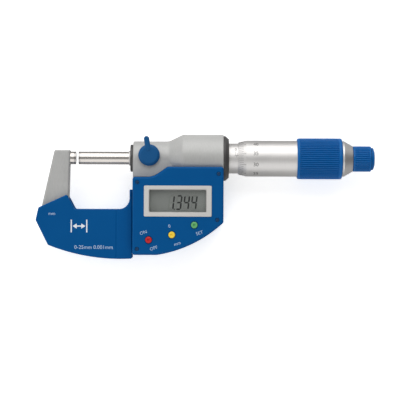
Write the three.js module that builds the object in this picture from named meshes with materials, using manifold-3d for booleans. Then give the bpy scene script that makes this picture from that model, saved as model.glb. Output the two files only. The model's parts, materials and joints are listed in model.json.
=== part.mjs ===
// Outside micrometer, 0-25 mm, with a digital display: an assembly of separate solids.
// Millimetres. While drafting, X runs along the spindle from the anvil's measuring face,
// Y points from the display towards the lock lever, and Z points out of the display.
// The finished group stands on z = 0 on its back cover, centred on X and Y.

import * as THREE from 'three';
import { mergeVertices } from 'three/addons/utils/BufferGeometryUtils.js';
import Module from 'manifold-3d';

const wasm = await Module();
wasm.setup();

// ---------------------------------------------------------------- driving dimensions

const GAP = 0.05; // between pieces fastened face to face
const ROUND = 32; // sides of a large round
const SMALL_ROUND = 16; // sides of a small round
const PIN_ROUND = 8; // sides of a screw shank
const PEG_ROUND = 12; // sides of a peg
const ARC_STEP = THREE.MathUtils.degToRad(22.5); // turn of one chord on a rounded corner
const LONG_ARC_CHORDS = 8;

// Spindle line, as stations along X and radii about the X axis
const OPENING = 1.344; // between the measuring faces as built
const SPINDLE_R = 3.25;
const GUIDE_R = 3.3;
const TIP_LENGTH = 0.8;
const LEG_X = 29.03; // left face of the right leg
const NECK_R = 8.57;
const NECK_END_X = 47.1;
const BARREL_R = 12.03;
const BARREL_X = 54.2;
const BARREL_END_X = 74.67;
const CAVITY_R = 10.6;
const CAVITY_X = 57.95;
const THREAD_R = 3.7;
const THREAD_X = 68;
const SLEEVE_R = 7.6;
const SLEEVE_END_X = 112;
const THIMBLE_R = 9.09;
const THIMBLE_BORE_R = 7.72;
const THIMBLE_X = 82.11;
const SEAT_X = 115; // spindle shoulder that the thimble is clamped on
const SEAT_END_X = 121;
const GRIP_X = 111.8;
const GRIP_END_X = 134.6;
const GRIP_R = 10.35;
const CONE_END_X = 140;
const KNOB_X = 140.15;
const KNOB_END_X = 149.25;
const KNOB_R = 6.45;
const CAP_END_X = 151.1;
const TEETH = 12;

// Thicknesses, as heights along Z from the spindle line
const ARM_Z = 4.5;
const LEG_Z = 6;
const COVER_Z = 6.9; // outer face of the bow covers
const SHELL_Z = 6.4; // rear edge of the front shell
const FRONT_Z = 14; // face of the front shell
const BACK_Z = -12.6; // face of the back cover, the lowest point
const WALL = 1.8;
const BOARD_Z = 7;

// Spindle lock
const LOCK = [37.2, 1.4];
const LOCK_BOSS_Z = 8.65; // face of the boss that the lever turns on
const LOCK_SCREW_R = 1.35;
const LEVER_FACE_Z = 10.6;
const LEVER_TOP_Z = 11.4;
const LEVER_R = 5.4;
const LEVER_REACH = 9.6;
const LEVER_LEAN = THREE.MathUtils.degToRad(8.9);

// Outlines in the XY plane: corners are [x, y] or [x, y, corner radius]
const ARM = [[-10.7, 4.09], [-2.75, 4.09], [-3.4, -18.8], [-4.8, -30], [-18.3, -30]];

const BOW_COVER = [
  [-18.6, -25.1, 0.8],
  [-4.15, -18.5, 0.8],
  [-0.3, -25.77, 1],
  [27.36, -25.77, 5.3],
  [27.36, -15.94],
  [28.75, -15.94],
  [28.75, -50.73, 0.8],
  ...arcBetween([28.75, -50.73], [-13.75, -43.95], 98.6),
  [-13.75, -43.95, 0.8],
  [-20, -31.43, 1.2],
];

const FRAME_BOW = [
  [-18, -25.55],
  [-4.5, -19.4],
  [-0.7, -26.37, 1],
  [27.96, -26.37, 5.9],
  [27.96, -16.5],
  [36, -16.5],
  [36, -47.9],
  [28.7, -47.9],
  [28.15, -50.1, 0.8],
  ...arcBetween([28.15, -50.1], [-13.35, -43.4], 98),
  [-13.35, -43.4, 0.8],
  [-19.35, -31.35, 0.8],
];

// The flat of the neck, which follows the housing's upper edge
const NECK_FLAT = [
  [LEG_X, -9.35], [39.4, -9.35, 10], [46.5, -4.3], [49.3, -4.3], [49.3, 0], [LEG_X, 0],
];

const HOUSING_FOOT = [
  [74.64, -32.33, 1.2],
  ...arcBetween([74.64, -32.33], [41.22, -48.69], 62.46),
  [41.22, -48.69],
  [29.03, -48.69, 1.2],
];

const HOUSING = [
  [29.03, -9.61, 1.2],
  [39.35, -9.61, 10],
  [46.64, -4.45, 1.2],
  [74.64, -4.45, 1.2],
  ...HOUSING_FOOT,
];

const HOUSING_LOWER = [[29.03, -12.9, 1.2], [74.64, -12.9, 1.2], ...HOUSING_FOOT];

// Display, given by left, bottom, right and top edges
const BEZEL = [34.8, -29.44, 68.71, -13.94];
const BEZEL_WINDOW = [37.6, -27.1, 65.85, -16.12];
const WINDOW = [36.6, -28.1, 66.85, -15.2];
const LCD = [36.8, -27.9, 66.6, -15.4];
const LCD_CONNECTOR = [38, -27.6, 65, -25.8];

// Places in the XY plane
const BUTTONS = { red: [37.2, -41.1], yellow: [48.8, -38.54], green: [60.04, -33.6] };
const BUTTON_R = 1.65;
const FRONT_SCREWS = [[31.47, -12.33], [72.16, -8], [71.57, -31.05], [31.4, -45.7]];
const BACK_SCREWS = [[32.2, -16.1], [71.4, -16.1], [71, -30.4], [32.2, -45.5]];
const COVER_PEGS = [[-11, -31], [16, -38]];
const BATTERY = [44, -34];
const BATTERY_R = 5.8;

// Screws, pegs and their holes
const HEAD_R = 0.9;
const HEAD_SEAT_R = 1;
const HEAD_HEIGHT = 0.95;
const SEAT_DEPTH = 1.2;
const SHANK_R = 0.7;
const SHANK_HOLE_R = 0.8;
const PEG_R = 1.2;
const PEG_HOLE_R = 1.3;

// Battery stack, as heights from the back cover's face
const CAP_RECESS = 1; // depth of the cap's recess
const CAP_FLANGE_R = 7.5;
const CAP_PLUG_R = 6.2;
const CAP_LOW = BACK_Z + 0.1;
const BATTERY_LOW = BACK_Z + 1.5;
const BATTERY_HIGH = -5.7;

// ---------------------------------------------------------------- materials

const finish = (color, roughness, metalness) =>
  new THREE.MeshStandardMaterial({ color, roughness, metalness });

const paintedCasting = finish(0xb1b1af, 0.6, 0.3);
const satinSteel = finish(0xc9c7c5, 0.32, 0.95);
const brightSteel = finish(0xdedcd9, 0.18, 1);
const carbide = finish(0x8b8886, 0.25, 1);
const blueShell = finish(0x00508e, 0.38, 0);
const blueGrip = finish(0x08487d, 0.42, 0);
const blueLever = finish(0x205282, 0.4, 0);
const blackPlastic = finish(0x2f2e2e, 0.5, 0);
const blackRubber = finish(0x1d1d1d, 0.8, 0);
const greyBezel = finish(0xc3c0be, 0.4, 0);
const bluedSteel = finish(0x163e64, 0.4, 0.5);
const clearWindow = finish(0xd8dedc, 0.05, 0);
const displayGlass = finish(0x757773, 0.3, 0);
const greenBoard = finish(0x1f6a3c, 0.5, 0);
const brass = finish(0xb8923c, 0.3, 1);
const redKey = finish(0xb01818, 0.35, 0);
const yellowKey = finish(0xe0b21c, 0.35, 0);
const greenKey = finish(0x2f9440, 0.35, 0);

// ---------------------------------------------------------------- outlines

// Corners along a circular arc between two points, hanging below its centre.
function arcBetween([x1, y1], [x2, y2], radius) {
  const across = new THREE.Vector2(x2 - x1, y2 - y1);
  const half = across.length() / 2;
  const rise = Math.sqrt(radius * radius - half * half) * Math.sign(across.x);
  const centreX = (x1 + x2) / 2 - (across.y / (2 * half)) * rise;
  const centreY = (y1 + y2) / 2 + (across.x / (2 * half)) * rise;
  const from = Math.atan2(y1 - centreY, x1 - centreX);
  const to = Math.atan2(y2 - centreY, x2 - centreX);
  return Array.from({ length: LONG_ARC_CHORDS - 1 }, (_, i) => {
    const angle = THREE.MathUtils.lerp(from, to, (i + 1) / LONG_ARC_CHORDS);
    return [centreX + radius * Math.cos(angle), centreY + radius * Math.sin(angle)];
  });
}

// The chord points that round one corner off.
function roundedCorner(before, [x, y, radius = 0], after) {
  const corner = new THREE.Vector2(x, y);
  if (radius === 0) return [corner];
  const toBefore = new THREE.Vector2(before[0] - x, before[1] - y).normalize();
  const toAfter = new THREE.Vector2(after[0] - x, after[1] - y).normalize();
  const halfAngle = Math.acos(THREE.MathUtils.clamp(toBefore.dot(toAfter), -1, 1)) / 2;
  const bisector = toBefore.clone().add(toAfter).normalize();
  const centre = corner.clone().addScaledVector(bisector, radius / Math.sin(halfAngle));
  const reach = radius / Math.tan(halfAngle);
  const start = corner.clone().addScaledVector(toBefore, reach).sub(centre);
  const turn = Math.sign(start.cross(corner.clone().sub(centre))) * (Math.PI - 2 * halfAngle);
  const steps = Math.max(1, Math.ceil(Math.abs(turn) / ARC_STEP));
  return Array.from({ length: steps + 1 }, (_, i) =>
    start.clone().rotateAround(new THREE.Vector2(), (turn * i) / steps).add(centre));
}

function outline(corners) {
  const count = corners.length;
  const points = corners.flatMap((corner, i) =>
    roundedCorner(corners[(i + count - 1) % count], corner, corners[(i + 1) % count]));
  return new THREE.Shape(points);
}

// The same corners moved inwards by a distance, with their radii kept concentric.
function inset(corners, distance) {
  const count = corners.length;
  const vectors = corners.map(([x, y]) => new THREE.Vector2(x, y));
  const side = Math.sign(THREE.ShapeUtils.area(vectors));
  const inward = (from, to) => {
    const edge = vectors[to].clone().sub(vectors[from]).normalize();
    return new THREE.Vector2(-edge.y * side, edge.x * side);
  };
  return corners.map(([x, y, radius = 0], i) => {
    const first = inward((i + count - 1) % count, i);
    const second = inward(i, (i + 1) % count);
    const shift = first.clone().add(second).divideScalar(1 + first.dot(second));
    const convex = first.cross(second) * side > 0;
    const newRadius = radius === 0 ? 0 : Math.max(0, radius + (convex ? -distance : distance));
    return [x + shift.x * distance, y + shift.y * distance, newRadius];
  });
}

function rectangle([left, bottom, right, top], radius = 0, grow = 0) {
  return [
    [left - grow, bottom - grow, radius],
    [right + grow, bottom - grow, radius],
    [right + grow, top + grow, radius],
    [left - grow, top + grow, radius],
  ];
}

// A bar with round ends from one point to another.
function bar([x1, y1], [x2, y2], radius) {
  const along = new THREE.Vector2(x2 - x1, y2 - y1).normalize();
  const across = new THREE.Vector2(-along.y, along.x);
  const corner = (x, y, ahead, aside) => [
    x + (along.x * ahead + across.x * aside) * radius,
    y + (along.y * ahead + across.y * aside) * radius,
    radius * 0.9,
  ];
  return [corner(x1, y1, -1, 1), corner(x1, y1, -1, -1), corner(x2, y2, 1, -1), corner(x2, y2, 1, 1)];
}

// ---------------------------------------------------------------- solids

// A flat plate between two heights, its edges chamfered inside the outline.
function plate(corners, low, high, chamfer = 0) {
  const geometry = new THREE.ExtrudeGeometry(outline(corners), {
    depth: high - low - 2 * chamfer,
    bevelEnabled: chamfer > 0,
    bevelThickness: chamfer,
    bevelSize: chamfer,
    bevelOffset: -chamfer,
    bevelSegments: 1,
  });
  return geometry.translate(0, 0, low + chamfer);
}

// A round upright between two heights.
function post([x, y], low, high, radius, sides = SMALL_ROUND) {
  const geometry = new THREE.CylinderGeometry(radius, radius, high - low, sides);
  return geometry.rotateX(Math.PI / 2).translate(x, y, (low + high) / 2);
}

function block([x1, x2], [y1, y2], [z1, z2]) {
  const geometry = new THREE.BoxGeometry(x2 - x1, y2 - y1, z2 - z1);
  return geometry.translate((x1 + x2) / 2, (y1 + y2) / 2, (z1 + z2) / 2);
}

// A solid turned about the X axis from [x, radius] stations, outside listed with X rising.
function turned(stations, sides = ROUND) {
  const points = stations.map(([x, radius]) => new THREE.Vector2(radius, x));
  return new THREE.LatheGeometry(points, sides).rotateZ(-Math.PI / 2);
}

const rod = (from, to, radius, sides) =>
  turned([[from, 0], [from, radius], [to, radius], [to, 0]], sides);

const ring = (from, to, inner, outer, sides) =>
  turned([[from, inner], [from, outer], [to, outer], [to, inner], [from, inner]], sides);

function toSolid(geometry) {
  const bare = geometry.clone();
  bare.deleteAttribute('normal');
  bare.deleteAttribute('uv');
  const merged = mergeVertices(bare, 1e-4);
  const corners = merged.index.array;
  const triangles = [];
  for (let i = 0; i < corners.length; i += 3) {
    const [a, b, c] = corners.slice(i, i + 3);
    if (a !== b && b !== c && c !== a) triangles.push(a, b, c);
  }
  return new wasm.Manifold(new wasm.Mesh({
    numProp: 3,
    vertProperties: Float32Array.from(merged.attributes.position.array),
    triVerts: Uint32Array.from(triangles),
  }));
}

function toGeometry(solid) {
  const mesh = solid.getMesh();
  const geometry = new THREE.BufferGeometry();
  geometry.setAttribute('position', new THREE.BufferAttribute(mesh.vertProperties, 3));
  geometry.setIndex(new THREE.BufferAttribute(mesh.triVerts, 1));
  return geometry;
}

const join = (...parts) =>
  toGeometry(parts.map(toSolid).reduce((whole, part) => whole.add(part)));

const cut = (base, ...tools) =>
  toGeometry(tools.map(toSolid).reduce((whole, tool) => whole.subtract(tool), toSolid(base)));

// ---------------------------------------------------------------- assembly

const micrometer = new THREE.Group();

function piece(name, geometry, material) {
  const mesh = new THREE.Mesh(geometry, material);
  mesh.name = name;
  micrometer.add(mesh);
}

// ---- frame

function frameBody() {
  const boss = turned([
    [LEG_X, 0], [LEG_X, NECK_R - 0.4], [LEG_X + 0.4, NECK_R], [NECK_END_X, NECK_R],
    [BARREL_X, BARREL_R], [BARREL_END_X - 0.4, BARREL_R], [BARREL_END_X, BARREL_R - 0.4],
    [BARREL_END_X, 0],
  ]);
  return join(
    plate(ARM, -ARM_Z, ARM_Z, 0.8),
    plate(FRAME_BOW, -ARM_Z, ARM_Z, 0.5),
    plate(inset(HOUSING, 0.6), -LEG_Z, LEG_Z, 0.5),
    block([LEG_X, 50], [-14, 0], [-LEG_Z, LEG_Z]),
    plate(NECK_FLAT, -NECK_R + GAP, NECK_R - GAP),
    boss,
    post(LOCK, 0, LOCK_BOSS_Z, 4.8),
  );
}

function frameHoles() {
  const [x, y] = BATTERY;
  return [
    rod(-10.3, 0, GUIDE_R),
    rod(LEG_X - 1, CAVITY_X + 0.1, GUIDE_R),
    rod(CAVITY_X, BARREL_END_X + 1, CAVITY_R),
    post(LOCK, 2, 9, LOCK_SCREW_R + 0.15),
    block([CAVITY_X - 0.05, 60], [-16.5, -9.8], [0.5, LEG_Z + 1]),
    plate(inset(HOUSING_LOWER, 4), 3.5, LEG_Z + 1),
    post(BATTERY, -LEG_Z - 1, -4.9, BATTERY_R + 0.3),
    block([x - 0.7, x + 0.7], [y - 0.4, y + 0.4], [-LEG_Z, LEG_Z]),
    ...FRONT_SCREWS.map((place) => post(place, 1.5, LEG_Z + 6, SHANK_HOLE_R, PIN_ROUND)),
    ...BACK_SCREWS.map((place) => post(place, -LEG_Z - 1, -2, SHANK_HOLE_R, PIN_ROUND)),
    ...COVER_PEGS.map((place) => post(place, 2.2, ARM_Z + 1, PEG_HOLE_R, PEG_ROUND)),
    ...COVER_PEGS.map((place) => post(place, -ARM_Z - 1, -2.2, PEG_HOLE_R, PEG_ROUND)),
  ];
}

function addFrame() {
  piece('frame', cut(frameBody(), ...frameHoles()), paintedCasting);
  piece('anvil', rod(-10.2, -TIP_LENGTH - GAP, SPINDLE_R), satinSteel);
  piece('anvil_carbide_tip', rod(-TIP_LENGTH, 0, SPINDLE_R), carbide);
  piece('spindle_seal_ring', ring(27.6, LEG_X - GAP, 3.4, 6.9), blackPlastic);
  piece('spindle_wiper', ring(26.85, 27.6 - GAP, 3.35, 3.75), satinSteel);
}

// ---- bow covers, each with two pegs that press into the frame

function bowCover(side) {
  const low = ARM_Z + GAP;
  const face = plate(BOW_COVER, low, COVER_Z, 0.6);
  const pegs = COVER_PEGS.map((place) => post(place, 2.5, low + 0.6, PEG_R, PEG_ROUND));
  const front = join(face, ...pegs);
  if (side === 'front') return front;
  const mirrored = front.scale(1, 1, -1);
  const order = mirrored.index.array;
  for (let i = 0; i < order.length; i += 3) [order[i], order[i + 1]] = [order[i + 1], order[i]];
  return mirrored;
}

function addBowCovers() {
  piece('bow_cover_front', bowCover('front'), blueShell);
  piece('bow_cover_back', bowCover('back'), blueShell);
}

// ---- display housing

const barrelRelief = turned([
  [20, 0], [20, NECK_R + 0.3], [NECK_END_X - 0.15, NECK_R + 0.3],
  [BARREL_X - 0.15, BARREL_R + 0.3], [80, BARREL_R + 0.3], [80, 0],
]);

function housingFrontShell() {
  const inner = FRONT_Z - WALL;
  const cavity = cut(
    plate(inset(HOUSING_LOWER, WALL), SHELL_Z - 1, inner + GAP),
    ...FRONT_SCREWS.slice(2).map((place) => post(place, 0, FRONT_Z, 2.2)),
  );
  return cut(
    plate(HOUSING, SHELL_Z, FRONT_Z, 0.8),
    cavity,
    barrelRelief,
    plate(rectangle(BEZEL, 0.5, 0.03), inner, FRONT_Z + 1),
    ...Object.values(BUTTONS).map((place) => post(place, inner - 0.2, FRONT_Z + 1, BUTTON_R + 0.1)),
    ...FRONT_SCREWS.map((place) => post(place, FRONT_Z - SEAT_DEPTH, FRONT_Z + 1, HEAD_SEAT_R)),
    ...FRONT_SCREWS.map((place) => post(place, 0, FRONT_Z, SHANK_HOLE_R, PIN_ROUND)),
  );
}

function housingGasket() {
  const low = LEG_Z + GAP;
  const high = SHELL_Z - GAP;
  return cut(
    plate(inset(HOUSING_LOWER, 0.7), low, high),
    plate(inset(HOUSING_LOWER, 1.5), low - 1, high + 1),
  );
}

function backCover() {
  const top = -LEG_Z - GAP;
  const floor = BACK_Z + 1.6; // inner face
  const cavity = cut(
    plate(inset(HOUSING_LOWER, WALL), floor, top + 1),
    post(BATTERY, floor - 1, top + 2, 8.8),
    ...BACK_SCREWS.map((place) => post(place, floor - 1, top + 2, 2.4)),
  );
  return cut(
    plate(HOUSING_LOWER, BACK_Z, top, 0.8),
    cavity,
    post(BATTERY, BACK_Z, top + 1, BATTERY_R + 0.2, ROUND),
    post(BATTERY, BACK_Z, floor, 7.3, ROUND),
    post(BATTERY, BACK_Z - 1, BACK_Z + CAP_RECESS, CAP_FLANGE_R + 0.15, ROUND),
    ...BACK_SCREWS.map((place) => post(place, BACK_Z - 1, BACK_Z + SEAT_DEPTH, HEAD_SEAT_R)),
    ...BACK_SCREWS.map((place) => post(place, BACK_Z, top + 1, SHANK_HOLE_R, PIN_ROUND)),
  );
}

function frontScrew(place, tip) {
  const under = FRONT_Z - SEAT_DEPTH + GAP;
  return join(
    post(place, under, under + HEAD_HEIGHT, HEAD_R),
    post(place, tip, under + GAP, SHANK_R, PIN_ROUND),
  );
}

function backScrew(place) {
  const under = BACK_Z + SEAT_DEPTH - GAP;
  return join(
    post(place, under - HEAD_HEIGHT, under, HEAD_R),
    post(place, under - GAP, -2.5, SHANK_R, PIN_ROUND),
  );
}

function addHousing() {
  piece('housing_front_shell', housingFrontShell(), blueShell);
  piece('housing_gasket', housingGasket(), blackRubber);
  piece('back_cover', backCover(), blueShell);
  FRONT_SCREWS.forEach((place, i) => {
    const tip = place[1] > -10 ? 7.4 : 2; // the upper screw ends in the shell, above the barrel
    piece(`housing_screw_${i + 1}`, frontScrew(place, tip), bluedSteel);
  });
  BACK_SCREWS.forEach((place, i) => piece(`back_screw_${i + 1}`, backScrew(place), bluedSteel));
}

// ---- display and electronics

function circuitBoard() {
  return cut(
    plate(inset(HOUSING_LOWER, 2.4), BOARD_Z, BOARD_Z + 1),
    ...FRONT_SCREWS.slice(2).map((place) => post(place, BOARD_Z - 1, BOARD_Z + 2, 2.5)),
  );
}

function keypad() {
  const base = BOARD_Z + 1 + GAP;
  return join(
    plate(bar(BUTTONS.red, BUTTONS.green, 3.4), base, base + 1.25),
    ...Object.values(BUTTONS).map((place) => post(place, base, 10.4, 1.4)),
  );
}

function button(place) {
  return join(
    post(place, 11.15, 11.9, BUTTON_R + 0.55),
    post(place, 11.5, FRONT_Z + 0.6, BUTTON_R),
  );
}

// The stator's flat tail: down out of the barrel and forward to the circuit board.
function encoderFlex() {
  const tail = new THREE.Shape([
    new THREE.Vector2(-10.55, 1),
    new THREE.Vector2(-16, 1),
    new THREE.Vector2(-16, BOARD_Z - GAP),
    new THREE.Vector2(-15.4, BOARD_Z - GAP),
    new THREE.Vector2(-13.4, 4),
    new THREE.Vector2(-10.55, 4),
  ]);
  const geometry = new THREE.ExtrudeGeometry(tail, { depth: 0.2, bevelEnabled: false });
  return geometry.rotateY(Math.PI / 2).rotateX(Math.PI / 2).translate(58.6, 0, 0);
}

function batteryContact() {
  const [x, y] = BATTERY;
  return join(
    post(BATTERY, -5.6, -5.3, 4.5),
    block([x - 0.5, x + 0.5], [y - 0.2, y + 0.2], [-5.4, BOARD_Z - GAP]),
  );
}

function addElectronics() {
  const bezel = cut(
    plate(rectangle(BEZEL, 0.5), 12.25, FRONT_Z + 0.3, 0.15),
    plate(rectangle(BEZEL_WINDOW, 0.4), 11, FRONT_Z + 1),
  );
  piece('display_bezel', bezel, greyBezel);
  piece('display_window', plate(rectangle(WINDOW, 0.3), 11.5, 12.2), clearWindow);
  piece('lcd_panel', plate(rectangle(LCD), 9.6, 11.45), displayGlass);
  piece('lcd_connector', plate(rectangle(LCD_CONNECTOR), 8.05, 9.55), blackRubber);
  piece('circuit_board', circuitBoard(), greenBoard);
  piece('button_keypad', keypad(), blackRubber);
  piece('button_red', button(BUTTONS.red), redKey);
  piece('button_yellow', button(BUTTONS.yellow), yellowKey);
  piece('button_green', button(BUTTONS.green), greenKey);
}

// ---- battery

function batteryCap() {
  const [x, y] = BATTERY;
  const flangeTop = CAP_LOW + 0.85;
  return cut(
    join(
      post(BATTERY, CAP_LOW, flangeTop, CAP_FLANGE_R, ROUND),
      post(BATTERY, flangeTop - 0.15, flangeTop + 0.5, CAP_PLUG_R, ROUND),
    ),
    block([x - 5.5, x + 5.5], [y - 0.8, y + 0.8], [CAP_LOW - 0.5, CAP_LOW + 0.5]),
  );
}

function batteryCapSeal() {
  return cut(
    post(BATTERY, -11.55, -11.05, 7.2, ROUND),
    post(BATTERY, -12, -10, CAP_PLUG_R + GAP, ROUND),
  );
}

function addBattery() {
  piece('battery', post(BATTERY, BATTERY_LOW, BATTERY_HIGH, BATTERY_R, ROUND), brightSteel);
  piece('battery_contact', batteryContact(), brass);
  piece('battery_cap', batteryCap(), blackPlastic);
  piece('battery_cap_seal', batteryCapSeal(), blackRubber);
}

// ---- rotary encoder in the barrel

function addEncoder() {
  piece('encoder_stator', ring(58, 59.4, 5.5, 10.5), greenBoard);
  piece('encoder_flex', encoderFlex(), brass);
  piece('encoder_rotor', ring(60.4, 61.6, 5.25, 10), greenBoard);
  const keyHole = new THREE.CylinderGeometry(0.55, 0.55, 4, 12).translate(63.5, 4.5, 0);
  piece('rotor_bush', cut(ring(60.4, 66, GUIDE_R + 0.02, 5.2), keyHole), brass);
  piece('rotor_key', new THREE.CylinderGeometry(0.5, 0.5, 2.7, 12).translate(63.5, 3.8, 0), satinSteel);
}

// ---- sleeve, its nut and the black cap on the barrel

function addSleeve() {
  const sleeve = turned([
    [71, 5], [71, CAVITY_R - 0.1], [74.05, CAVITY_R - 0.1], [74.05, SLEEVE_R], [104, SLEEVE_R],
    [104, 7], [SLEEVE_END_X, 7], [SLEEVE_END_X, THREAD_R + 0.06], [92, THREAD_R + 0.06],
    [92, 5], [71, 5],
  ]);
  piece('sleeve', sleeve, brightSteel);
  piece('adjusting_nut', ring(105, 109, 7.04, SLEEVE_R), satinSteel);
  const endCap = turned([
    [74.1, SLEEVE_R + GAP], [74.1, CAVITY_R - 0.1], [74.72, CAVITY_R - 0.1], [74.72, 11.35],
    [75.6, 11.35], [77.36, 9.8], [77.36, SLEEVE_R + GAP], [74.1, SLEEVE_R + GAP],
  ]);
  piece('barrel_end_cap', endCap, blackPlastic);
}

// ---- spindle, thimble and grip

function addSpindle() {
  const steelX = OPENING + TIP_LENGTH + GAP;
  const shaft = turned([
    [steelX, 0], [steelX, SPINDLE_R], [THREAD_X, SPINDLE_R], [THREAD_X + 0.4, THREAD_R],
    [SEAT_X - GAP, THREAD_R], [SEAT_X - GAP, 3], [SEAT_END_X, 3], [SEAT_END_X, 1.54],
    [109.5, 1.54], [109.5, 0],
  ]);
  const keyway = block([33.5, 66], [2.3, 4], [-0.6, 0.6]);
  piece('spindle', cut(shaft, keyway), brightSteel);
  piece('spindle_carbide_tip', rod(OPENING, OPENING + TIP_LENGTH, SPINDLE_R), carbide);
}

function addThimble() {
  const thimble = turned([
    [THIMBLE_X, THIMBLE_BORE_R], [THIMBLE_X, 8.1], [86.2, THIMBLE_R],
    [GRIP_END_X - GAP, THIMBLE_R], [GRIP_END_X - GAP, THIMBLE_BORE_R],
    [SEAT_END_X, THIMBLE_BORE_R], [SEAT_END_X, 3.04], [SEAT_X, 3.04],
    [SEAT_X, THIMBLE_BORE_R], [THIMBLE_X, THIMBLE_BORE_R],
  ]);
  piece('thimble', thimble, satinSteel);
  const grip = turned([
    [GRIP_X, THIMBLE_R + GAP], [GRIP_X, GRIP_R - 0.6], [GRIP_X + 0.6, GRIP_R],
    [GRIP_END_X - 0.6, GRIP_R], [GRIP_END_X, GRIP_R - 0.6], [GRIP_END_X, THIMBLE_R + GAP],
    [GRIP_X, THIMBLE_R + GAP],
  ]);
  piece('thimble_grip', grip, blueGrip);
  const cone = turned([
    [132, 4.05], [132, 7.6], [GRIP_END_X + GAP, 7.6], [GRIP_END_X + GAP, 9], [135.6, 9],
    [CONE_END_X, 6.5], [CONE_END_X, 4.05], [132, 4.05],
  ]);
  piece('thimble_end_cone', cone, satinSteel);
}

// ---- ratchet stop

const toothBlock = (from, to, angle) =>
  block([from, to], [3.65, 5.15], [-0.4, 0.4]).rotateX(angle);

function toothRing(from, to, phase) {
  return Array.from({ length: TEETH }, (_, i) =>
    toothBlock(from, to, ((i + phase) * 2 * Math.PI) / TEETH));
}

function lugs(width, outer, [from, to]) {
  return block([from, to], [-outer, outer], [-width / 2, width / 2]);
}

function ratchetWheel() {
  const body = turned([
    [SEAT_END_X + GAP, 2.04], [SEAT_END_X + GAP, 4], [140.45, 4], [140.45, 5.2], [142.3, 5.2],
    [142.3, 2.04], [SEAT_END_X + GAP, 2.04],
  ]);
  return join(body, ...toothRing(142.2, 142.8, 0));
}

function ratchetPawl() {
  const disc = join(rod(143.1, 144.8, 5.3), lugs(1.4, 5.85, [143.1, 144.8]));
  return join(cut(disc, rod(142, 146, 2.1)), ...toothRing(142.4, 143.2, 0.5));
}

function ratchetKnob() {
  const body = turned([
    [KNOB_X, 5.45], [KNOB_X, 6.05], [KNOB_X + 0.4, KNOB_R], [KNOB_END_X, KNOB_R],
    [KNOB_END_X, 3.4], [147.5, 3.4], [147.5, 2.1], [147, 2.1], [147, 5.45], [KNOB_X, 5.45],
  ]);
  return cut(body, lugs(1.6, 5.95, [KNOB_X - 1, 146.6]));
}

class SpringCurve extends THREE.Curve {
  constructor(from, to, radius, turns) {
    super();
    Object.assign(this, { from, to, radius, turns });
  }

  getPoint(t, target = new THREE.Vector3()) {
    const angle = 2 * Math.PI * this.turns * t;
    const x = THREE.MathUtils.lerp(this.from, this.to, t);
    return target.set(x, this.radius * Math.cos(angle), this.radius * Math.sin(angle));
  }
}

function spring() {
  const wire = new THREE.Shape().absarc(0, 0, 0.22, 0, 2 * Math.PI);
  return new THREE.ExtrudeGeometry(wire, {
    steps: 30,
    curveSegments: 3,
    extrudePath: new SpringCurve(145.1, 146.7, 3.5, 2.5),
    bevelEnabled: false,
  });
}

function addRatchet() {
  const screw = turned([
    [110, 0], [110, 1.5], [126, 1.5], [126, 2], [147.55, 2], [147.55, 3], [148.9, 3], [148.9, 0],
  ], SMALL_ROUND);
  piece('ratchet_screw', screw, satinSteel);
  piece('ratchet_wheel', ratchetWheel(), satinSteel);
  piece('ratchet_pawl', ratchetPawl(), brass);
  piece('ratchet_spring', spring(), satinSteel);
  piece('ratchet_knob', ratchetKnob(), blueGrip);
  const cap = turned([
    [KNOB_END_X + GAP, 0], [KNOB_END_X + GAP, 5.9], [150.3, 5.6], [150.9, 5], [CAP_END_X, 3.8],
    [CAP_END_X, 0],
  ]);
  piece('ratchet_end_cap', cap, blueGrip);
}

// ---- spindle lock

function lockLever() {
  const [x, y] = LOCK;
  const reach = LEVER_REACH - 1.3;
  const tip = [x - reach * Math.sin(LEVER_LEAN), y + reach * Math.cos(LEVER_LEAN)];
  return cut(
    join(
      post(LOCK, LOCK_BOSS_Z + GAP, LEVER_FACE_Z, LEVER_R, ROUND),
      post(LOCK, LEVER_FACE_Z - 0.4, LEVER_TOP_Z, LEVER_R - 0.9, ROUND),
      plate(bar(LOCK, tip, 1.3), 9, LEVER_TOP_Z - 0.2, 0.3),
    ),
    post(LOCK, 8, LEVER_FACE_Z + GAP, LOCK_SCREW_R + GAP),
  );
}

function addLock() {
  piece('lock_lever', lockLever(), blueLever);
  piece('lock_screw', post(LOCK, 5.5, LEVER_FACE_Z, LOCK_SCREW_R), satinSteel);
  piece('lock_shoe', post(LOCK, 3.45, 5.4, LOCK_SCREW_R), brass);
}

addFrame();
addBowCovers();
addHousing();
addElectronics();
addBattery();
addEncoder();
addSleeve();
addSpindle();
addThimble();
addRatchet();
addLock();

// ---- stand the group on its back cover, centred on X and Y

const extent = new THREE.Box3().setFromObject(micrometer);
const centre = extent.getCenter(new THREE.Vector3());
micrometer.position.set(-centre.x, -centre.y, -extent.min.z);

export default micrometer;
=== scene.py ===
import json
import math

import bmesh
import bpy
from mathutils import Matrix, Vector


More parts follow.
